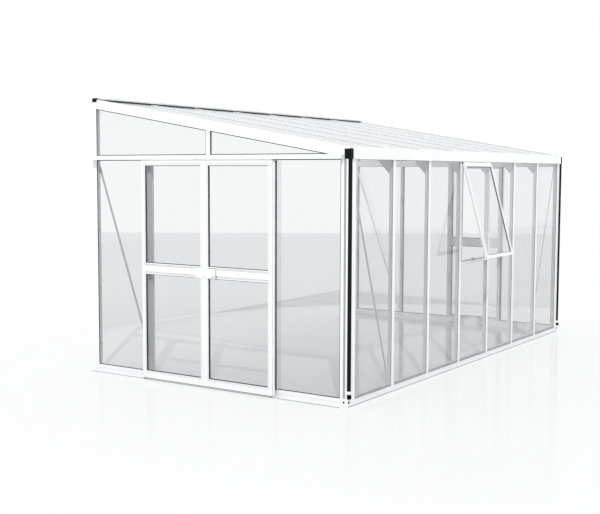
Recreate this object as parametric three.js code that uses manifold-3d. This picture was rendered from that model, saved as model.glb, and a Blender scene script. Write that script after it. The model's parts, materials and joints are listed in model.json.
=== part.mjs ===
// A lean-to greenhouse of glazed aluminium bars, built against a wall.
//
// Millimetres, +Z up. +X runs along the house from the double door to the far gable,
// +Y runs from the eave to the wall. The origin is under the middle of the front sill.
import * as THREE from 'three';
import Module from 'manifold-3d';
import { mergeVertices } from 'three/addons/utils/BufferGeometryUtils.js';

const wasm = await Module();
wasm.setup();

// Module grid of the glazing
const pitch = 622.5;
const frontBays = 7;
const gableBays = 4;
const cornerInset = 71.25; // from an outer plane to the first module line
const wallInset = 24.75; // from the last module line to the wall
const length = frontBays * pitch + 2 * cornerInset;
const depth = gableBays * pitch + cornerInset + wallInset;
const halfLength = length / 2;

// Heights
const sillHeight = 62;
const eaveBottom = 1845;
const eaveTop = 1932;
const roofAngle = THREE.MathUtils.degToRad(9.6);
const capPlane = 1925; // underside of the roof caps, at the front plane

// Clearances
const seated = 0.3; // between pieces that rest on each other
const running = 2; // beside pieces that slide past each other
const overrun = 5; // how far a cut or a joined end reaches into its neighbour

// Glass in its rebate: outer skin, seal, glass, seal, inner lip
const skin = 3;
const glass = { thick: 4, seal: 0.6, bite: 12, edge: 1.5 };
const glassFront = skin + glass.seal;
const glassBack = glassFront + glass.thick;
const rebateBack = glassBack + glass.seal;

// Frame profiles
const bar = {
  face: 40, web: 5, lip: 30, lipSkin: 2.5, depth: 44, channel: 18, channelDepth: 10, mouth: 8, channelSkin: 2.5,
};
const sill = { back: 45, wall: 2.5, drip: 34, dripRise: 3, chamfer: 5, rebate: 15, chamberTop: 40 };
const corner = {
  front: 98, gable: 71, bite: 14, body: 45, groove: 20, grooveStart: 25, grooveDepth: 6,
  wall: 3, seatGap: 1.3, chamberFront: 34, chamberGable: 24, lugReach: 38, lugHeight: 46,
};
const wallPost = { face: 43, wall: 3 };
const beam = {
  proud: 15, back: 75, backWall: 5, troughFloor: 25, lip: 10, lipDrop: 8, seatReach: 35, seatSkin: 3, wall: 2.5,
  rebate: 13,
};
const transom = { innerDepth: 40, wall: 3, rise: 37, rebate: 13, floor: 23, farHang: 30 };
const track = {
  reach: 64, height: 33, wall: 3, frontLip: 11, slot: 24, lip: 3, bead: 3, beadTop: 1, beadHeight: 2,
  beadInset: 4,
};

// Roof
const sheet = { thick: 16, seal: 0.3, edge: 4, overhang: 46, skin: 1, rib: 1, cell: 38 };
const roofBar = { cap: 3, ledgeSkin: 2.5, deep: 55, foot: 18, footSkin: 3, webStart: 112, footStart: 215 };
const verge = {
  top: 8, bottom: 70, width: 34, topSkin: 3, lipSkin: 2.8, rebate: 20,
  groove: 3, grooveDepth: 1.5, grooveFoot: 10,
};
const ridge = {
  bottom: 90, flashing: 60, flashSkin: 6, back: 6, ledge: 50, strip: 8, stripHeight: 8,
};
const gusset = { thick: 3, height: 117, reach: 122, top: 45, offset: 0.3, drop: 30 };

// Braces: flat strips
const brace = { width: 20, thick: 3, topDrop: 16, footRise: 16, topInset: 78 };

// Sliding leaves
const leaf = {
  width: 664, thick: 26, behindTrack: 10, bottom: 17, stile: 38, topRail: 45, bottomRail: 62, midBottom: 896,
  midTop: 989, bite: 8, slot: 5, lip: 9, groove: 4, grooveDepth: 3.5, recess: 11, recessDepth: 4, meeting: 1,
};
const guide = { slotWidth: 9, slotDepth: 11, fin: 4, rise: 6, thick: 4, width: 16, foot: 4 };
const wheel = { radius: 11, width: 8, groove: 4.5, grooveDepth: 1.5, bore: 2.6, inset: 90, hub: 5 };
const hanger = { thick: 3.5, width: 40, pin: 2.5, pinTip: 1 };
const latch = {
  rise: 39, plate: 80, plateThick: 5, keeper: 93, case: 117, knobInset: 92, knob: 27, knobThick: 11, rim: 2.75,
  spindle: 5, bore: 5.15, boreDepth: 12, grip: 12, gripRound: 4.8, gripLength: 47, gripHeight: 17, round: 8,
};

// Top-hung window in the middle front bay
const vent = {
  bottom: 932, bottomRail: 28, topRail: 30, jamb: 20, proud: 1, back: 26, sideGap: 3.25, flangeGap: 1,
  rebate: 12, beadOut: 10, beadDrop: 13, bead: 3.5, neck: 2,
};
const sash = {
  lap: 9, rail: 28, thick: 20, gap: 1, bottomLap: 2, hookGap: 0.4, hook: 2.8, bite: 8, slot: 5, root: 5.5,
  hookFrom: -20, hookTo: 60, open: 15.5,
};
const stay = {
  length: 340, width: 10, thick: 3, eye: 4.5, bore: 2.15, pin: 2, ear: 3, earGap: 0.5, earReach: 12, drop: 15,
  hole: 3, holes: 5, holePitch: 34, holeStart: 200, saddle: 3, saddleInset: 17, saddleDepth: 12, cheek: 2.5,
  cheekGap: 1, cheekHeight: 10,
};

// Rainwater
const pipe = { radius: 15.2, wall: 2, inset: 12.5, out: 1 };
const facets = { pipe: 24, wheel: 24, knob: 32, pin: 16, hole: 12, hook: 14 };
const hopper = { beyond: 1.5, depth: 57, rise: 1, drop: 12 };
const outlet = { width: 20, height: 14, plate: 2.5, plateBack: 44 };
const clip = { height: 22, bottom: 100, wall: 3, gap: 0.3 };
const elbow = { top: 99.6, drop: 20.6, reach: 20, sleeve: 1, steps: 6 };

// Colours and finishes, from the photograph
const white = new THREE.MeshStandardMaterial({ color: 0xf4f5f6, roughness: 0.38, metalness: 0.1 });
const clear = new THREE.MeshStandardMaterial({
  color: 0xccd4d8, roughness: 0.05, metalness: 0, transparent: true, opacity: 0.35,
});
const twinWall = new THREE.MeshStandardMaterial({
  color: 0xe6e9ea, roughness: 0.2, metalness: 0, transparent: true, opacity: 0.6,
});
const black = new THREE.MeshStandardMaterial({ color: 0x141516, roughness: 0.45, metalness: 0 });
const nylon = new THREE.MeshStandardMaterial({ color: 0xd8d8d2, roughness: 0.5, metalness: 0 });

const NEAR = -1; // the gable with the double door
const FAR = 1;
const house = new THREE.Group();

// Places

// X of a point that lies `inward` from a gable's outer plane
const gableX = (end, inward) => end * (halfLength - inward);
const frontLine = (n) => cornerInset + n * pitch - halfLength;
const gableLine = (n) => cornerInset + n * pitch;
// Height of a point `rise` square above the underside of the roof caps
const roofZ = (y, rise) => capPlane + y * Math.tan(roofAngle) + rise / Math.cos(roofAngle);
const sheetBottom = -(sheet.seal + sheet.thick);
const ledgeTop = sheetBottom - sheet.seal;
const ledgeBottom = ledgeTop - roofBar.ledgeSkin;
const barFoot = sillHeight + seated;
const trackTop = eaveBottom + track.height;
const leafTop = eaveBottom - running;
const leafFace = leaf.behindTrack - track.reach; // outer face, measured inward from the gable plane
const leafBack = leafFace + leaf.thick;
const leafMiddle = leafFace + leaf.thick / 2;
const paneFoot = sillHeight - sill.rebate + seated;
const latchZ = leaf.midBottom + latch.rise;

// Shape helpers

function outline(points, holes = []) {
  const round = points.map(([x, y]) => new THREE.Vector2(x, y));
  // Mirrored outlines come in the other way round, which would turn their holes inside out
  const shape = new THREE.Shape(THREE.ShapeUtils.area(round) < 0 ? round.reverse() : round);
  shape.holes = holes.map((hole) => new THREE.Path(hole.map(([x, y]) => new THREE.Vector2(x, y))));
  return shape;
}

function extrude(shape, run) {
  return new THREE.ExtrudeGeometry(shape, { depth: run, bevelEnabled: false });
}

// Extrusions of an outline in (x, y), (y, z), (x, z), and (x, square to the roof)
function alongZ(points, from, to, holes) {
  return extrude(outline(points, holes), to - from).translate(0, 0, from);
}

function alongX(points, from, to, holes) {
  const turn = new THREE.Matrix4().makeBasis(
    new THREE.Vector3(0, 1, 0), new THREE.Vector3(0, 0, 1), new THREE.Vector3(1, 0, 0),
  );
  return extrude(outline(points, holes), to - from).applyMatrix4(turn).translate(from, 0, 0);
}

function alongY(points, from, to, holes) {
  const turn = new THREE.Matrix4().makeBasis(
    new THREE.Vector3(1, 0, 0), new THREE.Vector3(0, 0, 1), new THREE.Vector3(0, -1, 0),
  );
  return extrude(outline(points, holes), to - from).applyMatrix4(turn).translate(0, to, 0);
}

// `from` and `to` are distances in plan from the front plane
function alongSlope(points, from, to, holes) {
  const run = [from, to].map((y) => y / Math.cos(roofAngle));
  const lean = new THREE.Matrix4().makeRotationX(roofAngle);
  return alongY(points, run[0], run[1], holes).applyMatrix4(lean).translate(0, 0, capPlane);
}

function block([x0, x1], [y0, y1], [z0, z1]) {
  const box = new THREE.BoxGeometry(Math.abs(x1 - x0), Math.abs(y1 - y0), Math.abs(z1 - z0));
  return box.translate((x0 + x1) / 2, (y0 + y1) / 2, (z0 + z1) / 2);
}

function rodX(radius, from, to, sides) {
  const rod = new THREE.CylinderGeometry(radius, radius, to - from, sides);
  return rod.rotateZ(-Math.PI / 2).translate((from + to) / 2, 0, 0);
}

function rodZ(radius, from, to, sides) {
  const rod = new THREE.CylinderGeometry(radius, radius, to - from, sides);
  return rod.rotateX(Math.PI / 2).translate(0, 0, (from + to) / 2);
}

function solid(geometry) {
  const bare = geometry.clone();
  bare.deleteAttribute('normal');
  bare.deleteAttribute('uv');
  const merged = mergeVertices(bare);
  return new wasm.Manifold(new wasm.Mesh({
    numProp: 3,
    vertProperties: new Float32Array(merged.attributes.position.array),
    triVerts: new Uint32Array(merged.index.array),
  }));
}

const join = (...shapes) => shapes.map(solid).reduce((whole, next) => whole.add(next));
const cut = (whole, ...tools) => tools.map(solid).reduce((left, tool) => left.subtract(tool), whole);

function geometryOf(shape) {
  const mesh = shape.getMesh();
  const geometry = new THREE.BufferGeometry();
  const corners = new Float32Array(mesh.numVert * 3);
  for (let v = 0; v < mesh.numVert; v += 1) {
    corners.set(mesh.vertProperties.subarray(v * mesh.numProp, v * mesh.numProp + 3), v * 3);
  }
  geometry.setAttribute('position', new THREE.BufferAttribute(corners, 3));
  geometry.setIndex(new THREE.BufferAttribute(new Uint32Array(mesh.triVerts), 1));
  geometry.computeVertexNormals();
  return geometry;
}

function piece(name, shape, material, parent = house) {
  const geometry = shape.isBufferGeometry ? shape : geometryOf(shape);
  const mesh = new THREE.Mesh(geometry, material);
  mesh.name = name;
  parent.add(mesh);
  return mesh;
}

const mirrored = (half) => [...half, ...half.map(([a, v]) => [-a, v]).reverse()];

// Profiles

// The glazing bar in (across, inward): face, rebates, back lips and a bolt channel.
function barProfile() {
  const channelTop = bar.depth - bar.channelDepth;
  const channelSide = bar.channel / 2 - bar.channelSkin;
  return mirrored([
    [bar.face / 2, 0],
    [bar.face / 2, skin],
    [bar.web / 2, skin],
    [bar.web / 2, rebateBack],
    [bar.lip / 2, rebateBack],
    [bar.lip / 2, rebateBack + bar.lipSkin],
    [bar.web / 2, rebateBack + bar.lipSkin],
    [bar.web / 2, channelTop],
    [bar.channel / 2, channelTop],
    [bar.channel / 2, bar.depth],
    [bar.mouth / 2, bar.depth],
    [bar.mouth / 2, bar.depth - bar.channelSkin],
    [channelSide, bar.depth - bar.channelSkin],
    [channelSide, channelTop + bar.channelSkin],
  ]);
}

// The sill in (inward, height): drip lip, glass rebate and one chamber.
function sillProfile() {
  return {
    points: [
      [skin, 0],
      [sill.back, 0],
      [sill.back, sillHeight - sill.chamfer],
      [sill.back - sill.chamfer, sillHeight],
      [rebateBack, sillHeight],
      [rebateBack, sillHeight - sill.rebate],
      [skin, sillHeight - sill.rebate],
      [skin, sillHeight],
      [0, sillHeight],
      [0, sill.drip],
      [skin, sill.drip - sill.dripRise],
    ],
    chamber: [
      [skin + sill.wall, sill.wall],
      [sill.back - sill.wall, sill.wall],
      [sill.back - sill.wall, sill.chamberTop],
      [skin + sill.wall, sill.chamberTop],
    ],
  };
}

// The corner post in (inward from the gable, inward from the front).
function cornerProfile() {
  const grooveEnd = corner.grooveStart + corner.groove;
  const inner = rebateBack + corner.wall;
  const chamberStart = corner.grooveDepth + corner.wall;
  return {
    points: [
      [0, 0],
      [corner.front, 0],
      [corner.front, skin],
      [corner.front - corner.bite, skin],
      [corner.front - corner.bite, rebateBack],
      [corner.front, rebateBack],
      [corner.front, inner],
      [corner.body, inner],
      [corner.body, corner.body],
      [inner, corner.body],
      [inner, corner.gable],
      [rebateBack, corner.gable],
      [rebateBack, corner.gable - corner.bite],
      [skin, corner.gable - corner.bite],
      [skin, corner.gable],
      [0, corner.gable],
      [0, grooveEnd],
      [corner.grooveDepth, grooveEnd],
      [corner.grooveDepth, corner.grooveStart],
      [0, corner.grooveStart],
    ],
    chamber: [
      [corner.chamberFront, chamberStart],
      [corner.body - corner.wall, chamberStart],
      [corner.body - corner.wall, corner.body - corner.wall],
      [chamberStart, corner.body - corner.wall],
      [chamberStart, corner.chamberGable],
    ],
  };
}

// The wall post in (inward from the gable, out from the wall).
function wallPostProfile() {
  const mouth = wallPost.face - glass.bite;
  const inner = rebateBack + wallPost.wall;
  return {
    points: [
      [0, 0],
      [0, wallPost.face],
      [skin, wallPost.face],
      [skin, mouth],
      [rebateBack, mouth],
      [rebateBack, wallPost.face],
      [bar.depth, wallPost.face],
      [bar.depth, 0],
    ],
    chamber: [
      [inner, wallPost.wall],
      [bar.depth - wallPost.wall, wallPost.wall],
      [bar.depth - wallPost.wall, wallPost.face - wallPost.wall],
      [inner, wallPost.face - wallPost.wall],
    ],
  };
}

// The eave beam in (inward, height): fascia, gutter trough, roof seat and a glass rebate below.
function beamProfile() {
  const seatZ = (y) => roofZ(y, ledgeBottom) - seated;
  const floor = eaveBottom + beam.troughFloor;
  const troughBack = beam.back - beam.backWall;
  const seatEnd = beam.back + beam.seatReach;
  const chamberTop = floor - beam.wall;
  const fasciaBack = skin - beam.proud;
  const lipEnd = beam.lip - beam.proud;
  return {
    points: [
      [-beam.proud, eaveBottom],
      [skin, eaveBottom],
      [skin, eaveBottom + beam.rebate],
      [rebateBack, eaveBottom + beam.rebate],
      [rebateBack, eaveBottom],
      [beam.back, eaveBottom],
      [beam.back, seatZ(beam.back) - beam.seatSkin],
      [seatEnd, seatZ(seatEnd) - beam.seatSkin],
      [seatEnd, seatZ(seatEnd)],
      [troughBack, seatZ(troughBack)],
      [troughBack, floor],
      [fasciaBack, floor],
      [fasciaBack, eaveTop - beam.lipDrop],
      [lipEnd - beam.wall, eaveTop - beam.lipDrop],
      [lipEnd, eaveTop - beam.lipDrop + beam.wall],
      [lipEnd, eaveTop],
      [-beam.proud, eaveTop],
    ],
    chamber: [
      [rebateBack + beam.wall, eaveBottom + beam.wall],
      [beam.back - beam.wall, eaveBottom + beam.wall],
      [beam.back - beam.wall, chamberTop],
      [rebateBack + beam.wall, chamberTop],
    ],
  };
}

// The gable transom with the door track on its outside, in (inward, height).
function trackProfile(end) {
  const lipTop = eaveBottom + track.lip;
  const front = -track.reach;
  const cavity = front + track.wall;
  const lipEnd = cavity + track.frontLip;
  const bead = cavity + track.beadInset;
  const beadLean = (track.bead - track.beadTop) / 2;
  const top = eaveBottom + transom.rise;
  const foot = eaveBottom - (end === FAR ? transom.farHang : 0);
  const inner = rebateBack + transom.wall;
  return {
    points: [
      [front, eaveBottom],
      [lipEnd, eaveBottom],
      [lipEnd, lipTop],
      [bead + track.bead, lipTop],
      [bead + track.bead - beadLean, lipTop + track.beadHeight],
      [bead + beadLean, lipTop + track.beadHeight],
      [bead, lipTop],
      [cavity, lipTop],
      [cavity, trackTop - track.wall],
      [0, trackTop - track.wall],
      [0, lipTop],
      [lipEnd + track.slot, lipTop],
      [lipEnd + track.slot, eaveBottom],
      [skin, eaveBottom],
      [skin, eaveBottom + transom.rebate],
      [rebateBack, eaveBottom + transom.rebate],
      [rebateBack, foot],
      [transom.innerDepth, foot],
      [transom.innerDepth, top],
      [rebateBack, top],
      [rebateBack, eaveBottom + transom.floor],
      [skin, eaveBottom + transom.floor],
      [skin, top],
      [0, top],
      [0, trackTop],
      [front, trackTop],
    ],
    chamber: [
      [inner, foot + transom.wall],
      [transom.innerDepth - transom.wall, foot + transom.wall],
      [transom.innerDepth - transom.wall, top - transom.wall],
      [inner, top - transom.wall],
    ],
  };
}

// The verge bar in (inward, square to the roof).
function vergeProfile() {
  const inner = rebateBack + verge.lipSkin;
  const grooveFoot = verge.grooveFoot - verge.bottom;
  return [
    [0, -verge.bottom],
    [skin, -verge.bottom],
    [skin, verge.rebate - verge.bottom],
    [rebateBack, verge.rebate - verge.bottom],
    [rebateBack, -verge.bottom],
    [inner, -verge.bottom],
    [inner, ledgeBottom],
    [verge.width, ledgeBottom],
    [verge.width, ledgeTop],
    [skin, ledgeTop],
    [skin, verge.top - verge.topSkin],
    [verge.width, verge.top - verge.topSkin],
    [verge.width, verge.top],
    [0, verge.top],
    [0, grooveFoot + verge.groove],
    [verge.grooveDepth, grooveFoot + verge.groove],
    [verge.grooveDepth, grooveFoot],
    [0, grooveFoot],
  ];
}

// The roof bar in (across, square to the roof): the cap and ledges that hold the sheets.
function roofBarProfile() {
  return mirrored([
    [bar.face / 2, roofBar.cap],
    [bar.face / 2, 0],
    [bar.web / 2, 0],
    [bar.web / 2, ledgeTop],
    [bar.face / 2, ledgeTop],
    [bar.face / 2, ledgeBottom],
  ]);
}

// The wall bar in (inward, height): back leg, flashing over the sheets, ledge under them.
function ridgeProfile() {
  const back = depth - ridge.back;
  const flashing = depth - ridge.flashing;
  const ledge = depth - ridge.ledge;
  return [
    [back, ridgeTop() - ridge.bottom],
    [depth, ridgeTop() - ridge.bottom],
    [depth, ridgeTop()],
    [depth - ridge.strip, ridgeTop()],
    [depth - ridge.strip, roofZ(depth - ridge.strip, ridge.flashSkin)],
    [flashing, roofZ(flashing, ridge.flashSkin)],
    [flashing, roofZ(flashing, 0)],
    [back, roofZ(back, 0)],
    [back, roofZ(back, ledgeTop)],
    [ledge, roofZ(ledge, ledgeTop)],
    [ledge, roofZ(ledge, ledgeBottom)],
    [back, roofZ(back, ledgeBottom)],
  ];
}

const ridgeTop = () => roofZ(depth, verge.top) + seated + ridge.stripHeight;

// A profile given inward from a gable's outer plane, turned to that end of the house
const atGable = (end, points) => points.map(([inward, other]) => [gableX(end, inward), other]);
const fromWall = (points) => points.map(([inward, out]) => [inward, depth - out]);

// Sills and posts

function sills() {
  const { points, chamber } = sillProfile();
  piece('front_sill', alongX(points, -halfLength, halfLength, [chamber]), white);
  for (const [end, name] of [[NEAR, 'near_sill'], [FAR, 'far_sill']]) {
    const rail = alongY(atGable(end, points), sill.back + seated, depth, [atGable(end, chamber)]);
    piece(name, join(rail, ...guideLines(end).flatMap((y) => guideBlock(end, y))), white);
  }
}

// Where each leaf's bottom rail is guided: a place that stays under it from shut to open
function guideLines(end) {
  return leafStarts(end).map(({ from, slide }) => {
    const inset = slide > 0 ? leaf.width - guide.width : guide.width;
    return from + inset;
  });
}

// A foot on the sill's face with a fin that stands in the leaf's bottom groove
function guideBlock(end, y) {
  const across = [y - guide.width / 2, y + guide.width / 2];
  const fin = [leafMiddle - guide.fin / 2, leafMiddle + guide.fin / 2];
  return [
    block(
      [gableX(end, fin[0]), gableX(end, skin + overrun / 2)], across, [guide.foot, guide.foot + guide.thick],
    ),
    block([gableX(end, fin[0]), gableX(end, fin[1])], across, [guide.foot, leaf.bottom + guide.rise]),
  ];
}

function cornerPost(end, name) {
  const { points, chamber } = cornerProfile();
  const top = eaveBottom - seated;
  const post = alongZ(atGable(end, points), barFoot, top, [atGable(end, chamber)]);
  const at = [gableX(end, pipe.inset), -pipe.out, 0];
  const round = (radius, from, to) => rodZ(radius, from, to, facets.pipe).translate(...at);
  const seat = round(pipe.radius + corner.seatGap, 0, top + overrun);
  const clipTop = clip.bottom + clip.height;
  const clipRing = round(pipe.radius + clip.gap + clip.wall, clip.bottom, clipTop);
  const clipBore = round(pipe.radius + clip.gap, clip.bottom - overrun, clipTop + overrun);
  const back = bar.depth + seated + brace.thick;
  const lug = block(
    [gableX(end, corner.body - overrun), gableX(end, corner.body + corner.lugReach)],
    [Math.min(corner.body, bar.depth) - overrun, back],
    [top - corner.lugHeight, top],
  );
  const whole = cut(join(post, lug, frontBrace(end, back)), seat);
  piece(name, cut(whole.add(solid(clipRing)), clipBore), white);
}

// A flat strip from the top of a corner post to the foot of the nearest front bar, behind the bars
function frontBrace(end, back) {
  const top = [gableX(end, brace.topInset), eaveBottom - brace.topDrop];
  const foot = [gableX(end, cornerInset + pitch), barFoot + brace.footRise];
  const shape = strip(top, foot);
  return alongY(shape, bar.depth + seated, back);
}

// A flat strip's outline between two points, with square ends
function strip(from, to) {
  const way = new THREE.Vector2(to[0] - from[0], to[1] - from[1]).normalize().multiplyScalar(brace.width / 2);
  const side = [-way.y, way.x];
  const corners = [[from, -1, 1], [to, 1, 1], [to, 1, -1], [from, -1, -1]];
  return corners.map(([point, ahead, aside]) => [
    point[0] + ahead * way.x + aside * side[0], point[1] + ahead * way.y + aside * side[1],
  ]);
}

// Front bars, each with the gusset that ties it to its roof bar

function frontBar(n) {
  const x = frontLine(n);
  const post = alongZ(barProfile().map(([a, v]) => [x + a, v]), barFoot, eaveBottom - seated);
  return join(post, gussetPlate(x));
}

function gussetPlate(x) {
  const top = eaveBottom - seated;
  const behind = beam.back + beam.seatReach + seated + running;
  const lap = behind + gusset.top;
  const inner = bar.depth - bar.channelDepth;
  const shape = [
    [inner, top - gusset.height],
    [bar.depth, top - gusset.height],
    [inner + gusset.reach, top],
    [lap, roofZ(lap, -roofBar.deep)],
    [lap, roofZ(lap, -gusset.drop)],
    [behind, roofZ(behind, -gusset.drop)],
    [behind, top],
    [inner, top],
  ];
  const side = x + bar.web / 2 + gusset.offset;
  return alongX(shape, side, side + gusset.thick);
}

// Eave and roof frames

function eaveBeam() {
  const { points, chamber } = beamProfile();
  const end = halfLength - verge.width - seated;
  const whole = [alongX(points, -end, end, [chamber])];
  for (const side of [NEAR, FAR]) {
    const faces = [side * end, side * (end - outlet.plate)];
    whole.push(alongX(troughEnd(), Math.min(...faces), Math.max(...faces)));
  }
  return cut(join(...whole), outletHole(NEAR), outletHole(FAR));
}

// The plate that closes the trough at its ends, kept clear of the roof sheets
function troughEnd() {
  const floor = eaveBottom + beam.troughFloor;
  const under = (y) => roofZ(y, ledgeBottom) - seated;
  const troughBack = beam.back - beam.backWall;
  return [
    [skin / 2 - beam.proud, floor - beam.wall / 2],
    [troughBack + beam.wall, floor - beam.wall / 2],
    [troughBack + beam.wall, under(troughBack)],
    [outlet.plateBack, under(outlet.plateBack)],
    [outlet.plateBack, eaveTop - beam.lipDrop],
    [skin / 2 - beam.proud, eaveTop - beam.lipDrop],
  ];
}

// Where the trough drains through its end plate, against the outlet box
function outletHole(end) {
  const floor = eaveBottom + beam.troughFloor;
  const through = [-overrun, outlet.plate + overrun].map((v) => gableX(end, verge.width + v));
  const across = [skin - beam.proud, skin - beam.proud + outlet.width];
  return block(through, across, [floor, floor + outlet.height]);
}

function roofFrame() {
  const end = halfLength - verge.width - seated;
  const topStrip = block(
    [-halfLength, halfLength], [depth - ridge.strip, depth], [ridgeTop() - ridge.stripHeight, ridgeTop()],
  );
  const parts = [alongX(ridgeProfile(), -end, end), topStrip];
  const back = depth - ridge.back;
  for (let n = 1; n < frontBays; n += 1) {
    const at = (points) => points.map(([a, v]) => [frontLine(n) + a, v]);
    const web = (half, from, to) => mirrored([[half, from], [half, to]]);
    const foot = [-roofBar.deep, roofBar.footSkin - roofBar.deep];
    parts.push(alongSlope(at(roofBarProfile()), sheet.overhang, back));
    parts.push(alongSlope(at(web(bar.web / 2, foot[0], ledgeTop)), roofBar.webStart, back));
    parts.push(alongSlope(at(web(roofBar.foot / 2, foot[0], foot[1])), roofBar.footStart, back));
  }
  const frame = join(...parts);
  const beyond = block(
    [-halfLength - overrun, halfLength + overrun], [depth, depth + verge.bottom], [0, ridgeTop() + overrun],
  );
  const aboveWallPosts = [NEAR, FAR].map((side) => block(
    [gableX(side, 0), gableX(side, bar.depth + seated)],
    [back - overrun, depth + overrun],
    [0, wallPostTop() + seated],
  ));
  return cut(frame, beyond, ...aboveWallPosts);
}

// Gable frames: verge, transom with door track, wall post, bars and brace

function gableFrame(end, lowerLines) {
  const post = wallPostProfile();
  const rail = trackProfile(end);
  const level = eaveBottom + overrun / 2;
  const postFront = depth - wallPost.face + wallPost.wall / 2;
  const bars = lowerLines.map((n) => [n, barFoot, level]);
  bars.push([gableBays / 2, trackTop, roofZ(gableLine(gableBays / 2), -verge.bottom / 2)]);
  const parts = [
    alongSlope(atGable(end, vergeProfile()), -overrun, depth + verge.bottom),
    alongZ(atGable(end, fromWall(post.points)), barFoot, wallPostTop(), [atGable(end, fromWall(post.chamber))]),
    alongY(atGable(end, rail.points), beam.back + seated, postFront, [atGable(end, rail.chamber)]),
    alongY(atGable(end, trackAlone()), hopper.depth - beam.proud, beam.back + overrun),
    alongY(atGable(end, trackAlone()), postFront - overrun, depth),
    gableBrace(end),
  ];
  for (const [n, from, to] of bars) {
    const shape = barProfile().map(([a, v]) => [gableX(end, v), gableLine(n) + a]);
    parts.push(alongZ(shape, from, to));
  }
  const frame = join(...parts);
  const reach = [gableX(end, -track.reach - overrun), gableX(end, sill.back + overrun)];
  const ahead = block(reach, [-verge.bottom, 0], [0, ridgeTop() + overrun]);
  const aroundHopper = block(
    reach,
    [-verge.bottom, hopper.depth - beam.proud + seated],
    [0, eaveTop - hopper.drop + seated],
  );
  const beyond = block(reach, [depth, depth + ridge.bottom * 2], [0, ridgeTop() + ridge.bottom]);
  const underVerge = block(reach, [-overrun, corner.gable + seated], [0, eaveBottom]);
  return cut(frame, ahead, aroundHopper, beyond, underVerge);
}

const wallPostTop = () => roofZ(depth - wallPost.face, -verge.bottom / 2);

// The track's own channel, where it runs on past the corner post
function trackAlone() {
  return trackProfile(NEAR).points.filter(([inward]) => inward <= skin);
}

function gableBrace(end) {
  const top = [depth - wallPost.face / 2, eaveBottom - brace.topDrop];
  const foot = [gableLine(gableBays - 1), barFoot + brace.footRise];
  const back = [gableX(end, bar.depth - brace.thick / 3), gableX(end, bar.depth + brace.thick)];
  return alongX(strip(top, foot), Math.min(...back), Math.max(...back));
}

// Glazing

const webGap = bar.web / 2 + glass.edge;

function frontPanes() {
  const start = corner.front - corner.bite + glass.edge;
  const lines = [start - halfLength, ...bays(frontBays - 1).map(frontLine), halfLength - start];
  for (let n = 0; n < frontBays; n += 1) {
    const from = lines[n] + (n > 0 ? webGap : 0);
    const to = lines[n + 1] - (n < frontBays - 1 ? webGap : 0);
    const top = n === (frontBays - 1) / 2 ? vent.bottom + vent.rebate : eaveBottom + beam.rebate;
    const pane = block([from, to], [glassFront, glassBack], [paneFoot, top - glass.edge]);
    piece(`front_pane_${n + 1}`, pane, clear);
  }
}

const bays = (count) => Array.from({ length: count }, (_, i) => i + 1);

function roofPanels() {
  const edge = halfLength - skin - glass.edge;
  const lines = [-edge, ...bays(frontBays - 1).map(frontLine), edge];
  for (let n = 0; n < frontBays; n += 1) {
    const from = lines[n] + (n > 0 ? bar.web / 2 + sheet.edge : 0);
    const to = lines[n + 1] - (n < frontBays - 1 ? bar.web / 2 + sheet.edge : 0);
    const shape = [[from, sheetBottom], [to, sheetBottom], [to, -sheet.seal], [from, -sheet.seal]];
    const head = depth - ridge.back - sheet.edge;
    const cells = sheetCells(from, to).map((cell) => alongSlope(cell, 0, depth));
    piece(`roof_panel_${n + 1}`, cut(join(alongSlope(shape, sheet.overhang, head)), ...cells), twinWall);
  }
}

// The open channels of a twin-wall sheet
function sheetCells(from, to) {
  const inside = to - from - sheet.rib;
  const count = Math.round(inside / sheet.cell);
  const [low, high] = [sheetBottom + sheet.skin, -sheet.seal - sheet.skin];
  return bays(count).map((i) => {
    const start = from + sheet.rib + ((i - 1) * inside) / count;
    const end = from + (i * inside) / count;
    return [[start, low], [end, low], [end, high], [start, high]];
  });
}

// A pane in a gable between two distances from the front
function lowerPane(end, name, from, to) {
  const across = [gableX(end, glassFront), gableX(end, glassBack)];
  const top = eaveBottom + transom.rebate - glass.edge;
  piece(name, block(across, [from, to], [paneFoot, top]), clear);
}

function upperPane(end, name, from, to) {
  const foot = eaveBottom + transom.floor + glass.edge / 3;
  const head = (y) => roofZ(y, verge.rebate - verge.bottom - glass.edge);
  const shape = [[from, foot], [to, foot], [to, head(to)], [from, head(from)]];
  const across = [gableX(end, glassFront), gableX(end, glassBack)];
  piece(name, alongX(shape, Math.min(...across), Math.max(...across)), clear);
}

function gablePanes(end, prefix, lowers) {
  const first = corner.gable - corner.bite + glass.edge;
  const last = depth - wallPost.face + glass.bite - glass.edge;
  for (const [name, a, b] of lowers) {
    const from = a === 0 ? first : gableLine(a) + webGap;
    const to = b === gableBays ? last : gableLine(b) - webGap;
    lowerPane(end, `${prefix}_pane_${name}`, from, to);
  }
  const middle = gableLine(gableBays / 2);
  upperPane(end, `${prefix}_pane_top_front`, corner.gable + overrun + seated * 2, middle - webGap);
  upperPane(end, `${prefix}_pane_top_wall`, middle + webGap, last);
}

// Sliding leaves

// Where each leaf of a gable starts when shut, which way it slides and which latch part it has
function leafStarts(end) {
  const middle = gableLine(gableBays / 2);
  if (end === FAR) {
    const centre = (gableLine(1) + middle) / 2;
    return [{ name: 'far_leaf', from: centre - leaf.width / 2, slide: 1, fitting: null }];
  }
  const gap = leaf.meeting / 2;
  return [
    { name: 'wall_leaf', from: middle + gap, slide: 1, fitting: 'keeper' },
    { name: 'front_leaf', from: middle - gap - leaf.width, slide: -1, fitting: 'case' },
  ];
}

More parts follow.
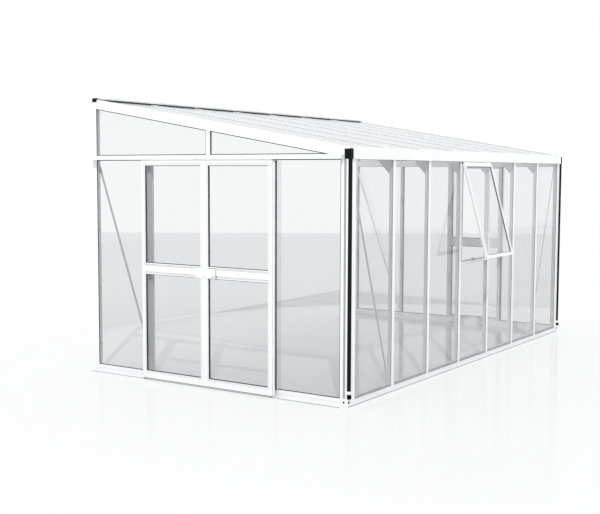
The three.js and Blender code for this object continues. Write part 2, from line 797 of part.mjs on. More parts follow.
function slidingLeaf(end, { name, from, fitting }) {
  const u = (inward) => gableX(end, inward);
  const to = from + leaf.width;
  const faces = [u(leafFace), u(leafBack)];
  const through = [u(leafFace - overrun), u(leafBack + overrun)];
  const slot = [u(leafMiddle - leaf.slot / 2), u(leafMiddle + leaf.slot / 2)];
  const across = [from + leaf.stile, to - leaf.stile];
  const openings = [[leaf.bottom + leaf.bottomRail, leaf.midBottom], [leaf.midTop, leafTop - leaf.topRail]];
  const tools = [];
  const groove = [u(leafFace - overrun), u(leafFace + leaf.grooveDepth)];
  for (const [low, high] of openings) {
    tools.push(solid(block(through, across, [low, high])));
    tools.push(solid(block(slot, grown(across, leaf.bite), grown([low, high], leaf.bite))));
    const outer = leaf.lip + leaf.groove;
    const ring = solid(block(groove, grown(across, outer), grown([low, high], outer)));
    tools.push(ring.subtract(solid(block(groove, grown(across, leaf.lip), grown([low, high], leaf.lip)))));
  }
  const recess = [u(leafFace - overrun), u(leafFace + leaf.recessDepth)];
  for (const low of [leaf.midBottom + leaf.lip, leaf.midTop - leaf.lip - leaf.recess]) {
    tools.push(solid(block(recess, across, [low, low + leaf.recess])));
  }
  const guideSlot = [u(leafMiddle - guide.slotWidth / 2), u(leafMiddle + guide.slotWidth / 2)];
  const guideTop = leaf.bottom + guide.slotDepth;
  tools.push(solid(block(guideSlot, grown([from, to], overrun), [leaf.bottom - overrun, guideTop])));
  let frame = solid(block(faces, [from, to], [leaf.bottom, leafTop]));
  frame = tools.reduce((left, tool) => left.subtract(tool), frame);
  for (const y of [from + wheel.inset, to - wheel.inset]) {
    frame = frame.add(wheelHanger(end, y));
  }
  if (fitting) {
    frame = latchPlate(end, frame, from, to, fitting);
  }
  piece(`${name}_frame`, frame, white);
  openings.forEach(([low, high], i) => {
    const edge = leaf.bite - glass.edge;
    const faces = [u(leafMiddle - glass.thick / 2), u(leafMiddle + glass.thick / 2)];
    const pane = block(faces, grown(across, edge), grown([low, high], edge));
    piece(`${name}_pane_${i ? 'upper' : 'lower'}`, pane, clear);
  });
  [from + wheel.inset, to - wheel.inset].forEach((y, i) => {
    piece(`${name}_wheel_${i + 1}`, rollerWheel(end, y), nylon);
  });
}

const grown = ([low, high], by) => [low - by, high + by];

// Wheel axis: the groove's floor stands just clear of the bead on the track's lip
const wheelAxis = () => eaveBottom + track.lip + track.beadHeight + seated + wheel.radius - wheel.grooveDepth;
const wheelMiddle = () => -track.reach + track.wall + track.beadInset + track.bead / 2;

function wheelHanger(end, y) {
  const plateOut = -track.reach + track.wall + track.frontLip + running;
  const plateIn = plateOut + hanger.thick;
  const plate = block(
    [gableX(end, plateOut), gableX(end, plateIn)],
    [y - hanger.width / 2, y + hanger.width / 2],
    [leafTop - overrun, wheelAxis() + wheel.hub],
  );
  const pinFrom = wheelMiddle() - wheel.width / 2 - hanger.pinTip / 2;
  const ends = [gableX(end, pinFrom), gableX(end, plateIn - hanger.thick / 2)];
  const pin = rodX(hanger.pin, Math.min(...ends), Math.max(...ends), facets.wheel).translate(0, y, wheelAxis());
  return join(plate, pin);
}

function rollerWheel(end, y) {
  const half = wheel.width / 2;
  const floor = wheel.radius - wheel.grooveDepth;
  const outlineShare = wheel.groove / 2;
  const points = [
    [wheel.bore, -half],
    [wheel.radius, -half],
    [wheel.radius, -outlineShare],
    [floor, -outlineShare + wheel.grooveDepth / 2],
    [floor, outlineShare - wheel.grooveDepth / 2],
    [wheel.radius, outlineShare],
    [wheel.radius, half],
    [wheel.bore, half],
    [wheel.bore, -half],
  ].map(([r, h]) => new THREE.Vector2(r, h));
  const turned = new THREE.LatheGeometry(points, facets.wheel);
  return solid(turned.rotateZ(-Math.PI / 2).translate(gableX(end, wheelMiddle()), y, wheelAxis()));
}

// Keeper or latch case: a rounded plate over the mid rail at the meeting stiles
function latchPlate(end, frame, from, to, fitting) {
  const span = fitting === 'keeper' ? [from, from + latch.keeper] : [to - latch.case, to];
  const shape = rounded(span[1] - span[0], latch.plate, latch.round)
    .map(([a, b]) => [a + (span[0] + span[1]) / 2, b + latchZ]);
  const faces = [gableX(end, leafFace - latch.plateThick), gableX(end, leafFace + leaf.recessDepth + overrun)];
  const plate = solid(alongX(shape, Math.min(...faces), Math.max(...faces)));
  if (fitting === 'keeper') {
    return frame.add(plate);
  }
  const knobY = to - latch.knobInset;
  const floor = leafFace - latch.plateThick + latch.boreDepth;
  const ends = [gableX(end, leafFace - latch.plateThick - overrun), gableX(end, floor)];
  const bore = rodX(latch.bore, Math.min(...ends), Math.max(...ends), facets.wheel).translate(0, knobY, latchZ);
  return frame.add(plate).subtract(solid(bore));
}

function rounded(width, height, radius) {
  const rightAngle = Math.PI / 2;
  const quarter = [0, 1, 2].map((i) => (i * rightAngle) / 2);
  const spots = [[1, 1, 0], [-1, 1, 1], [-1, -1, 2], [1, -1, 3]];
  return spots.flatMap(([sx, sy, turn]) => quarter.map((angle) => [
    sx * (width / 2 - radius) + radius * Math.cos(angle + turn * rightAngle),
    sy * (height / 2 - radius) + radius * Math.sin(angle + turn * rightAngle),
  ]));
}

// The turning knob with its thumb grip and a spindle in the latch case
function latchKnob() {
  const { from } = leafStarts(NEAR)[1];
  const y = from + leaf.width - latch.knobInset;
  const face = gableX(NEAR, leafFace - latch.plateThick - seated * 2);
  const outer = face - latch.knobThick;
  const points = [
    [0, 0],
    [latch.knob - latch.rim, 0],
    [latch.knob, latch.rim],
    [latch.knob, latch.knobThick - latch.rim],
    [latch.knob - latch.rim, latch.knobThick],
    [0, latch.knobThick],
  ].map(([r, h]) => new THREE.Vector2(r, h));
  const disc = new THREE.LatheGeometry(points, facets.knob).rotateZ(Math.PI / 2).translate(face, y, latchZ);
  const grip = alongX(
    rounded(latch.grip, latch.gripLength, latch.gripRound).map(([a, b]) => [a + y, b + latchZ]),
    outer - latch.gripHeight, outer + latch.rim,
  );
  const tip = face + latch.boreDepth - running;
  const spindle = rodX(latch.spindle, face - latch.rim, tip, facets.wheel).translate(0, y, latchZ);
  return join(disc, grip, spindle);
}

// Window

const ventMiddle = pitch / 2;
const ventSide = ventMiddle - bar.face / 2 - vent.sideGap;
const beadZ = eaveBottom - vent.beadDrop;

function ring([halfWide, low, high], [halfWideIn, lowIn, highIn], [from, to]) {
  const outer = solid(block([-halfWide, halfWide], [from, to], [low, high]));
  return cut(outer, block([-halfWideIn, halfWideIn], [from - overrun, to + overrun], [lowIn, highIn]));
}

function windowFrame() {
  const top = eaveBottom - seated;
  const inner = [ventSide - vent.jamb, vent.bottom + vent.bottomRail, top - vent.topRail];
  const body = ring([ventSide, vent.bottom, top], inner, [-vent.proud, vent.back]);
  const flangeSide = ventMiddle - bar.web / 2 - vent.flangeGap;
  const flangeTop = eaveBottom + beam.rebate - glass.edge;
  const flange = ring([flangeSide, vent.bottom, flangeTop], inner, [glassFront, glassBack]);
  const bead = rodX(vent.bead, -ventSide, ventSide, facets.pin).translate(0, -vent.beadOut, beadZ);
  const reach = [-vent.beadOut, -vent.proud + overrun];
  const neck = block([-ventSide, ventSide], reach, grown([beadZ, beadZ], vent.neck / 2));
  const rebate = block(
    [-ventMiddle, ventMiddle], [skin, rebateBack], [vent.bottom - overrun, vent.bottom + vent.rebate],
  );
  const whole = body.add(flange).add(join(bead, neck)).add(staySaddle());
  return cut(whole, rebate);
}

// The seat of the stay on the window sill: a low pad between two cheeks
function staySaddle() {
  const sillTop = vent.bottom + vent.bottomRail;
  const span = [stay.saddleInset - stay.saddleDepth / 2, stay.saddleInset + stay.saddleDepth / 2];
  const inside = stay.width / 2 + stay.cheekGap;
  const outside = inside + stay.cheek;
  const pad = block([-outside, outside], span, [sillTop - overrun, sillTop + stay.saddle]);
  const cheeks = [-1, 1].map((side) => block(
    [side * inside, side * outside], span, [sillTop - overrun, sillTop + stay.saddle + stay.cheekHeight],
  ));
  return join(pad, ...cheeks);
}

// The sash is drawn shut, about its hinge bead, and hangs in a group that is turned open
const sashBack = -sash.gap - vent.proud + vent.beadOut;
const sashFoot = vent.bottom + vent.bottomRail - sash.bottomLap - beadZ;
const stayPin = [sashBack + stay.earReach / 2, sashFoot + stay.drop];

function sashFrame() {
  const half = ventMiddle - bar.face / 2 + sash.lap;
  const top = -sash.root;
  const faces = [sashBack - sash.thick, sashBack];
  const opening = [half - sash.rail, sashFoot + sash.rail, top - sash.rail];
  let frame = ring([half, sashFoot, top], opening, faces);
  const middle = (faces[0] + faces[1]) / 2;
  const slot = [middle - sash.slot / 2, middle + sash.slot / 2];
  const [openHalf, openLow, openHigh] = opening;
  const slotCut = block(grown([-openHalf, openHalf], sash.bite), slot, grown([openLow, openHigh], sash.bite));
  frame = cut(frame, slotCut);
  const pane = block(
    grown([-openHalf, openHalf], sash.bite - glass.edge),
    [middle - glass.thick / 2, middle + glass.thick / 2],
    grown([openLow, openHigh], sash.bite - glass.edge),
  );
  const hook = alongX(hookProfile(), -half, half);
  return { frame: frame.add(solid(hook)).add(stayEars()), pane };
}

// A C round the hinge bead, open towards the neck that carries the bead
function hookProfile() {
  const inner = vent.bead + sash.hookGap;
  const outer = inner + sash.hook;
  const from = THREE.MathUtils.degToRad(sash.hookTo);
  const to = Math.PI * 2 + THREE.MathUtils.degToRad(sash.hookFrom);
  const angles = bays(facets.hook + 1).map((i) => from + ((i - 1) / facets.hook) * (to - from));
  const arc = (radius, list) => list.map((a) => [radius * Math.cos(a), radius * Math.sin(a)]);
  return [...arc(outer, angles), ...arc(inner, [...angles].reverse())];
}

function stayEars() {
  const inside = stay.width / 2 + stay.earGap;
  const [y, z] = stayPin;
  const ears = [-1, 1].map((side) => block(
    [side * inside, side * (inside + stay.ear)],
    [sashBack - overrun / 2, y + stay.eye],
    grown([z, z], stay.eye),
  ));
  const reach = inside + stay.ear / 2;
  const pin = rodX(stay.pin, -reach, reach, facets.pin).translate(0, y, z);
  return join(...ears, pin);
}

// The stay bar from its eye, along +Y, with peg holes towards its free end
function stayBar() {
  const half = stay.width / 2;
  const nose = half / 2;
  const shape = [
    [-half, stay.eye / 2], [half, stay.eye / 2], [half, stay.length - nose], [nose, stay.length],
    [-nose, stay.length], [-half, stay.length - nose],
  ];
  let plate = solid(alongZ(shape, -stay.thick / 2, stay.thick / 2));
  for (let i = 0; i < stay.holes; i += 1) {
    const hole = rodZ(stay.hole, -stay.thick, stay.thick, facets.hole);
    plate = cut(plate, hole.translate(0, stay.holeStart + i * stay.holePitch, 0));
  }
  const eye = solid(rodX(stay.eye, -half, half, facets.pin));
  return cut(plate.add(eye), rodX(stay.bore, -stay.width, stay.width, facets.pin));
}

// Tilt at which the stay's underside rests on its saddle when the sash stands open
function stayTilt(open) {
  const [y, z] = stayPin;
  const pin = [
    y * Math.cos(open) + z * Math.sin(open) - vent.beadOut,
    -y * Math.sin(open) + z * Math.cos(open) + beadZ,
  ];
  const edge = stay.saddleInset + stay.saddleDepth / 2;
  const run = edge - pin[0];
  const rise = vent.bottom + vent.bottomRail + stay.saddle + seated - pin[1];
  return Math.atan2(rise, run) + Math.asin(stay.thick / 2 / Math.hypot(run, rise));
}

function window() {
  piece('window_frame', windowFrame(), white);
  const open = THREE.MathUtils.degToRad(sash.open);
  const hung = new THREE.Group();
  hung.position.set(0, -vent.beadOut, beadZ);
  hung.rotation.x = -open;
  const { frame, pane } = sashFrame();
  piece('window_sash', frame, white, hung);
  piece('window_pane', pane, clear, hung);
  const arm = new THREE.Group();
  arm.position.set(0, stayPin[0], stayPin[1]);
  arm.rotation.x = stayTilt(open) + open;
  piece('window_stay', stayBar(), white, arm);
  hung.add(arm);
  house.add(hung);
}

// Downpipes: an outlet box that closes the gutter's end, a pipe and a foot elbow. The box is closed
// on every side, so it is solid above the pipe's bore.

function downpipe(end, name) {
  const x = gableX(end, pipe.inset);
  const y = -pipe.out;
  const low = eaveBottom + hopper.rise;
  const top = eaveTop - hopper.drop;
  const wide = [gableX(end, -hopper.beyond), gableX(end, verge.width)].sort((a, b) => a - b);
  const deep = [-beam.proud, hopper.depth - beam.proud];
  const bore = pipe.radius - pipe.wall;
  const outer = [
    block(wide, deep, [low, top]),
    rodZ(pipe.radius, elbow.top - overrun, low + overrun, facets.pipe).translate(x, y, 0),
    elbowShape(end, pipe.radius + elbow.sleeve, 0),
  ];
  const inner = [
    rodZ(bore, elbow.top - overrun, low, facets.pipe).translate(x, y, 0),
    elbowShape(end, bore + elbow.sleeve, overrun),
  ];
  piece(name, cut(join(...outer), ...inner), black);
}

// The foot turns the water out over the corner of the sills
function elbowShape(end, radius, extra) {
  const [x, y] = [gableX(end, pipe.inset), -pipe.out];
  const side = (elbow.reach + extra) / Math.SQRT2;
  const top = new THREE.Vector3(x, y, elbow.top + extra);
  const middle = new THREE.Vector3(x, y, elbow.top - elbow.drop);
  const tip = new THREE.Vector3(x + end * side, y - side, elbow.top - elbow.drop - extra / 2);
  const ringShape = new THREE.Shape();
  ringShape.absarc(0, 0, radius, 0, Math.PI * 2);
  return new THREE.ExtrudeGeometry(ringShape, {
    steps: elbow.steps,
    curveSegments: facets.pipe / 2,
    bevelEnabled: false,
    extrudePath: new THREE.QuadraticBezierCurve3(top, middle, tip),
  });
}

// The whole house

sills();
cornerPost(NEAR, 'near_corner_post');
cornerPost(FAR, 'far_corner_post');
for (let n = 1; n < frontBays; n += 1) {
  piece(`front_bar_${n}`, frontBar(n), white);
}
piece('eave_gutter', eaveBeam(), white);
piece('roof_frame', roofFrame(), white);
piece('near_gable_frame', gableFrame(NEAR, [1, gableBays - 1]), white);
piece('far_gable_frame', gableFrame(FAR, [1, gableBays / 2, gableBays - 1]), white);
frontPanes();
roofPanels();
gablePanes(NEAR, 'near', [['front', 0, 1], ['wall', gableBays - 1, gableBays]]);
gablePanes(FAR, 'far', [
  ['front', 0, 1], ['middle', gableBays / 2, gableBays - 1], ['wall', gableBays - 1, gableBays],
]);
for (const end of [NEAR, FAR]) {
  leafStarts(end).forEach((start) => slidingLeaf(end, start));
}
piece('latch_knob', latchKnob(), white);
window();
downpipe(NEAR, 'near_downpipe');
downpipe(FAR, 'far_downpipe');
house.position.y = -(skin + sill.back) / 2;

export default house;
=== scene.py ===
# Looks of the lean-to greenhouse: camera, light, materials, and the seals, trims,
# brushes and fasteners that the frame's solids leave out. Metres, +Z up.
import json
import math

import bmesh
import bpy
from mathutils import Matrix, Vector

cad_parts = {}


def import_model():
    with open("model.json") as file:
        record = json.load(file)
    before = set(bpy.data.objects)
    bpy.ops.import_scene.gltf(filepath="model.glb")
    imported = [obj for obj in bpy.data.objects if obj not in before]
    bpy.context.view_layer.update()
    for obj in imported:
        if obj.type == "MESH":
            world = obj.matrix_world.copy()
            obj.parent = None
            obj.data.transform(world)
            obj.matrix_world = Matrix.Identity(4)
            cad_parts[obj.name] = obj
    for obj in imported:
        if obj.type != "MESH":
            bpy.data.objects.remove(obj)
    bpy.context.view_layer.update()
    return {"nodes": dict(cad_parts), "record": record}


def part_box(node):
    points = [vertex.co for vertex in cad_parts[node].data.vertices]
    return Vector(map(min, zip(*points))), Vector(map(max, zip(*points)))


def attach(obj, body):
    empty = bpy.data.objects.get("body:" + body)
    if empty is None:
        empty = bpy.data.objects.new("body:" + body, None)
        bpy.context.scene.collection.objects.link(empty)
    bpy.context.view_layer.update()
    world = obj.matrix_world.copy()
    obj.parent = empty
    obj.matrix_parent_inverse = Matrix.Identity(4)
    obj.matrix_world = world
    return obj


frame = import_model()
scene = bpy.context.scene

# Places taken from the frame
sill_low, sill_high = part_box("front_sill")
window_low, window_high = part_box("window_frame")
roof_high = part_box("roof_frame")[1]
HALF = sill_high.x
FRONT = sill_low.y
SILL = sill_high.z
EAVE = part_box("eave_gutter")[0].z
WALL = roof_high.y
RIDGE_TOP = roof_high.z

# Sizes of the profiles that the pieces sit on
BAYS = 7
VENT_BAY = 3
PITCH = 0.6225  # from bar to bar
CORNER = 0.07125  # from the frame's corner to the first bar line
FACE, LIP = 0.020, 0.015  # half a bar's width, outside and inside the glass
GLASS_OUT, GLASS_IN = 0.0036, 0.0076  # the glass's faces, behind the outer plane
CORNER_FRONT, CORNER_GABLE = 0.098, 0.071  # the corner post's reach each way
WALL_FACE = 0.043  # the wall post's reach
TRANSOM_RISE = 0.037  # from the eave to the transom's upper edge
FAR_HANG = 0.030  # how much deeper the far transom is, inside
SLOPE = math.radians(9.6)
ROOF_PLANE = 1.925  # height of the roof sheets' upper side, over FRONT
VERGE_EDGE = -0.070  # the verge's lower edge, square to the roof
VERGE = 0.034  # the verge cap's width
RIDGE_FRONT = WALL - 0.060  # the wall bar's front
SCREW_LINE = 0.045  # height of the screws in the sill
NEAR, FAR = -1, 1
X_AXIS, Y_AXIS, Z_AXIS = Vector((1, 0, 0)), Vector((0, 1, 0)), Vector((0, 0, 1))


def bar_x(n):
    return -HALF + CORNER + n * PITCH


def bar_y(n):
    return FRONT + CORNER + n * PITCH


def bay(n, face, corner):
    """The span of a front bay, clear of its bars by face or of the end by corner."""
    left = bar_x(n) + face if n else -HALF + corner
    right = bar_x(n + 1) - face if n < BAYS - 1 else HALF - corner
    return left, right


def roof_z(y, rise):
    return ROOF_PLANE + (y - FRONT) * math.tan(SLOPE) + rise / math.cos(SLOPE)


def along_roof(x, y, rise):
    """A point over the plan distance y from the front, rise square to the roof."""
    height = ROOF_PLANE + y * math.tan(SLOPE) + rise * math.cos(SLOPE)
    return Vector((x, FRONT + y - rise * math.sin(SLOPE), height))


# Planes that take (along, up, outwards); facing -1 turns outwards into inwards
def front_plane(depth, facing=1):
    return lambda a, b, out: Vector((a, FRONT + depth - facing * out, b))


def gable_plane(end, depth, facing=1):
    return lambda a, b, out: Vector((end * (HALF - depth + facing * out), a, b))


# Materials

def shader(name):
    mat = bpy.data.materials.new(name)
    mat.use_nodes = True
    tree = mat.node_tree
    return mat, tree, tree.nodes["Principled BSDF"]


def node(tree, kind, **values):
    """Adds a node; a value is an attribute of it, or an input with _ for a space."""
    made = tree.nodes.new(kind)
    for key, value in values.items():
        if hasattr(made, key):
            setattr(made, key, value)
        else:
            made.inputs[key.replace("_", " ")].default_value = value
    return made


def noise(tree, scale, detail):
    coords = node(tree, "ShaderNodeTexCoord")
    made = node(tree, "ShaderNodeTexNoise", Scale=scale, Detail=detail)
    tree.links.new(coords.outputs["Object"], made.inputs["Vector"])
    return made.outputs["Fac"]


def ramp(tree, source, low, high, target, stops=(0.35, 0.65)):
    """Turns a value into a colour from low to high."""
    made = node(tree, "ShaderNodeValToRGB")
    for element, stop, colour in zip(made.color_ramp.elements, stops, (low, high)):
        element.position = stop
        element.color = (*colour, 1)
    tree.links.new(source, made.inputs["Fac"])
    tree.links.new(made.outputs["Color"], target)


def spread(tree, source, span, limits=(0.3, 0.7)):
    """Maps a value between the limits onto the span."""
    made = node(
        tree, "ShaderNodeMapRange",
        From_Min=limits[0], From_Max=limits[1], To_Min=span[0], To_Max=span[1],
    )
    tree.links.new(source, made.inputs["Value"])
    return made


def mixed(tree, first, second):
    made = node(tree, "ShaderNodeMixShader")
    tree.links.new(first, made.inputs[1])
    tree.links.new(second, made.inputs[2])
    return made


def painted(name, low, high, rough, grain, depth, metallic=0.0, specular=0.5):
    """A solid finish with soft changes of tone and a fine grain of the given scale."""
    mat, tree, bsdf = shader(name)
    wide = noise(tree, 3.0, 4.0)
    fine = noise(tree, grain, 3.0)
    ramp(tree, wide, low, high, bsdf.inputs["Base Color"])
    dull = spread(tree, fine, rough)
    tree.links.new(dull.outputs["Result"], bsdf.inputs["Roughness"])
    bump = node(tree, "ShaderNodeBump", Strength=0.4, Distance=depth)
    tree.links.new(fine, bump.inputs["Height"])
    tree.links.new(bump.outputs["Normal"], bsdf.inputs["Normal"])
    bsdf.inputs["Metallic"].default_value = metallic
    bsdf.inputs["Specular IOR Level"].default_value = specular
    return mat


def see_through(tree, surface, lamps, bounced):
    """Lets lamps and bounced light through, so that what stands behind is lit."""
    path = node(tree, "ShaderNodeLightPath")
    for ray, colour in (("Is Shadow Ray", lamps), ("Is Diffuse Ray", bounced)):
        clear = node(tree, "ShaderNodeBsdfTransparent", Color=(*colour, 1))
        mix = mixed(tree, surface, clear.outputs["BSDF"])
        tree.links.new(path.outputs[ray], mix.inputs["Fac"])
        surface = mix.outputs["Shader"]
    tree.links.new(surface, tree.nodes["Material Output"].inputs["Surface"])


def glass_material():
    mat, tree, bsdf = shader("clear_glass")
    haze = noise(tree, 1.6, 3.0)
    ramp(tree, haze, (0.90, 0.907, 0.91), (0.91, 0.917, 0.92), bsdf.inputs["Base Color"])
    smear = spread(tree, haze, (0.0, 0.012))
    tree.links.new(smear.outputs["Result"], bsdf.inputs["Roughness"])
    bsdf.inputs["Transmission Weight"].default_value = 1.0
    bsdf.inputs["IOR"].default_value = 1.72
    see_through(tree, bsdf.outputs["BSDF"], (0.87, 0.875, 0.88), (0.52, 0.525, 0.53))
    return mat


def sheet_material():
    mat, tree, bsdf = shader("roof_sheet")
    cloud = noise(tree, 2.2, 3.0)
    fine = noise(tree, 260.0, 2.0)
    ramp(tree, cloud, (0.625, 0.63, 0.635), (0.65, 0.655, 0.66), bsdf.inputs["Base Color"])
    dull = spread(tree, fine, (0.16, 0.26))
    tree.links.new(dull.outputs["Result"], bsdf.inputs["Roughness"])
    clear = node(tree, "ShaderNodeBsdfTransparent", Color=(0.93, 0.95, 0.96, 1))
    mix = mixed(tree, bsdf.outputs["BSDF"], clear.outputs["BSDF"])
    mix.inputs["Fac"].default_value = 0.08
    passed = (0.80, 0.81, 0.815)
    see_through(tree, mix.outputs["Shader"], passed, passed)
    return mat


white = painted(
    "white_powder_coat", (0.90, 0.903, 0.905), (0.925, 0.927, 0.93), (0.28, 0.38), 900, 0.0001)
trim = painted(
    "white_end_trim", (0.87, 0.873, 0.876), (0.91, 0.912, 0.915), (0.34, 0.46), 700, 0.0001)
black = painted(
    "black_plastic", (0.005, 0.005, 0.006), (0.010, 0.010, 0.011), (0.4, 0.55), 500, 0.0002,
    specular=0.12)
# Black for the real seals and buffers, and for the seam round the latch's case that paints its
# shadow
rubber = painted(
    "black_rubber_and_painted_shadow", (0.012, 0.012, 0.013), (0.022, 0.022, 0.023), (0.55, 0.75), 400, 0.0003)
nylon = painted("nylon", (0.72, 0.71, 0.67), (0.8, 0.79, 0.75), (0.35, 0.5), 600, 0.0001)
steel = painted(
    "zinc_steel", (0.55, 0.56, 0.58), (0.66, 0.67, 0.68), (0.22, 0.4), 600, 0.0001, metallic=1.0)
pile = painted(
    "brush_pile", (0.03, 0.03, 0.032), (0.10, 0.10, 0.105), (0.7, 0.9), 1400, 0.0015)
# Grey for real gaskets and seals, and for strips that paint the shade in grooves, gaps and at the
# sills' foot
grey = painted(
    "grey_plastic_and_painted_shade", (0.33, 0.335, 0.34), (0.39, 0.395, 0.40), (0.4, 0.55), 500, 0.0002)
# Only on the strips that paint the shade in the leaves' grooves
pale = painted(
    "painted_groove_shade", (0.60, 0.605, 0.61), (0.66, 0.665, 0.67), (0.4, 0.55), 500, 0.0002)
glass = glass_material()
roofing = sheet_material()

finish_of = {
    "white_frame": white, "clear_glass": glass, "roof_sheet": roofing,
    "black_plastic": black, "nylon": nylon,
}
slot_of = {part["node"]: part["material_slot"] for part in frame["record"]["subparts"]}
for name, obj in frame["nodes"].items():
    for holder in obj.material_slots:
        holder.material = finish_of[slot_of[name]]


# Mesh helpers: each adds to a bmesh that one piece is made of

def piece(name, bm, material, body, smooth=None):
    """Makes one visible piece; edges over smooth, an angle in degrees, stay sharp."""
    bmesh.ops.recalc_face_normals(bm, faces=bm.faces)
    mesh = bpy.data.meshes.new(name)
    bm.to_mesh(mesh)
    bm.free()
    mesh.materials.append(material)
    obj = bpy.data.objects.new(name, mesh)
    scene.collection.objects.link(obj)
    if smooth:
        for face in mesh.polygons:
            face.use_smooth = True
        mesh.set_sharp_from_angle(angle=math.radians(smooth))
    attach(obj, body)


def inset(points, by):
    """The closed anticlockwise outline moved inwards, with mitred corners."""
    moved = []
    for i, point in enumerate(points):
        before = (point - points[i - 1]).normalized()
        after = (points[(i + 1) % len(points)] - point).normalized()
        side = Vector((-before.y, before.x)) + Vector((-after.y, after.x))
        moved.append(point + side * (by / (1 + before.dot(after))))
    return moved


def joined(bm, first, second):
    """Faces from one closed loop of corners to the next."""
    for i in range(len(first)):
        j = (i + 1) % len(first)
        bm.faces.new((first[i], first[j], second[j], second[i]))


def capped(bm, rows):
    """A closed body through all the rows."""
    for first, second in zip(rows, rows[1:]):
        joined(bm, first, second)
    bm.faces.new(rows[0][::-1])
    bm.faces.new(rows[-1])


def ring(bm, points, section, place):
    """Sweeps a closed section of (inwards, outwards) round an outline, mitred."""
    outline = [Vector(p) for p in points]
    area = sum(a.x * b.y - b.x * a.y for a, b in zip(outline, outline[1:] + outline[:1]))
    if area < 0:
        outline.reverse()
    loops = []
    for by, out in section:
        loops.append([bm.verts.new(place(p.x, p.y, out)) for p in inset(outline, by)])
    for first, second in zip(loops, loops[1:] + loops[:1]):
        joined(bm, first, second)


def rail(bm, section, start, end, across, up):
    """Extrudes a closed section of (across, up) from start to end."""
    rows = []
    for at in (start, end):
        rows.append([bm.verts.new(at + across * a + up * b) for a, b in section])
    capped(bm, rows)


def turned(bm, profile, centre, axis, sides, twist=0.0):
    """Turns a profile of (radius, along) about an axis through centre."""
    basis = axis.to_track_quat("Z", "Y").to_matrix()
    rows = []
    for radius, along in profile:
        row = []
        for i in range(sides):
            angle = twist + 2 * math.pi * i / sides
            local = Vector((radius * math.cos(angle), radius * math.sin(angle), along))
            row.append(bm.verts.new(centre + basis @ local))
        rows.append(row)
    capped(bm, rows)


def bolt(bm, centre, axis):
    """A washer with a hexagon nut and the bolt's end."""
    corner = 0.013 / math.sqrt(3)
    base, height = 0.0016, 0.0065
    crown = height + 0.001
    turned(bm, [(0.009, 0), (0.009, 0.0014), (0.0085, base)], centre, axis, 20)
    nut = [(corner * 0.98, base), (corner, 0.0022), (corner, height), (corner * 0.86, crown)]
    turned(bm, nut, centre, axis, 6, 0.3)
    tip = [(0.0036, crown), (0.0036, height + 0.0042), (0.0029, height + 0.005)]
    turned(bm, tip, centre, axis, 12)


def screw(bm, centre, axis, radius=0.0045):
    """A low domed screw head with a recess."""
    dome = [(1, 0), (1, 0.0008), (0.86, 0.0019), (0.55, 0.0025), (0.42, 0.0025), (0.3, 0.0012)]
    turned(bm, [(radius * share, along) for share, along in dome], centre, axis, 14)


def cushioned(bm, low, high, edge):
    """A block with all its edges rounded off."""
    made = bmesh.ops.create_cube(bm, size=1.0)
    size = Vector(high) - Vector(low)
    middle = (Vector(high) + Vector(low)) / 2
    for vert in made["verts"]:
        vert.co = Vector([vert.co[i] * abs(size[i]) + middle[i] for i in range(3)])
    edges = list({e for v in made["verts"] for e in v.link_edges})
    bmesh.ops.bevel(bm, geom=edges, offset=edge, segments=2, profile=0.6, affect="EDGES")


def slab(bm, end, out, along, up, edge):
    """A rounded block at a gable: spans outwards of it, along it and up."""
    low, high = (Vector((end * (HALF + out[i]), along[i], up[i])) for i in (0, 1))
    cushioned(bm, low, high, edge)


# Glazing seals, with sections of (inwards over the pane, outwards)

def lip(toe, heel, height):
    """A seal whose lip tapers from the toe on the glass to the heel by the bar."""
    return [
        (-0.004, 0.0001), (toe, 0.0001), (heel, height), (0.0002, height),
        (0.0002, 0.0005), (-0.004, 0.0005),
    ]


LIP_OUT = lip(0.004, 0.0012, 0.0028)
LIP_WIDE = lip(0.0062, 0.0020, 0.0030)
LIP_IN = lip(0.0036, 0.001, 0.0026)
SASH_WEDGE = [(0.0001, 0.0001), (0.0045, 0.0001), (0.0014, 0.0034), (0.0001, 0.0038)]
LEAF_OUT = [(0.0001, 0.0001), (0.0048, 0.0001), (0.0022, 0.0044), (0.0001, 0.0050)]
LEAF_IN = [(0.0001, 0.0001), (0.0045, 0.0001), (0.0040, 0.0100), (0.0001, 0.0105)]


def box_outline(a, b):
    return [(a[0], b[0]), (a[1], b[0]), (a[1], b[1]), (a[0], b[1])]


def front_seals():
    bm = bmesh.new()
    for n in range(BAYS):
        height = (SILL, window_low.z if n == VENT_BAY else EAVE)
        outside, inside = (box_outline(bay(n, face, CORNER_FRONT), height) for face in (FACE, LIP))
        ring(bm, outside, LIP_OUT, front_plane(GLASS_OUT))
        ring(bm, inside, LIP_IN, front_plane(GLASS_IN, -1))
    return bm


def gable_seals():
    bm = bmesh.new()
    last = WALL - WALL_FACE
    foot = EAVE + TRANSOM_RISE
    meet = FRONT + (foot - ROOF_PLANE - VERGE_EDGE / math.cos(SLOPE)) / math.tan(SLOPE)
    for end, panes in ((NEAR, [(0, 1), (3, 4)]), (FAR, [(0, 1), (2, 3), (3, 4)])):
        for face, section, place, hang in (
            (FACE, LIP_WIDE, gable_plane(end, GLASS_OUT), 0),
            (LIP, LIP_IN, gable_plane(end, GLASS_IN, -1), FAR_HANG if end == FAR else 0),
        ):
            for a, b in panes:
                left = bar_y(a) + face if a else FRONT + CORNER_GABLE
                right = last if b == 4 else bar_y(b) - face
                ring(bm, box_outline((left, right), (SILL, EAVE - hang)), section, place)
            before, after = bar_y(2) - face, bar_y(2) + face
            low_pane = [(meet, foot), (before, foot), (before, roof_z(before, VERGE_EDGE))]
            ring(bm, low_pane, section, place)
            high_pane = [(after, foot), (last, foot)]
            high_pane += [(y, roof_z(y, VERGE_EDGE)) for y in (last, after)]
            ring(bm, high_pane, section, place)
    return bm


piece("front_glazing_seals", front_seals(), grey, "house")
piece("gable_glazing_seals", gable_seals(), rubber, "house")

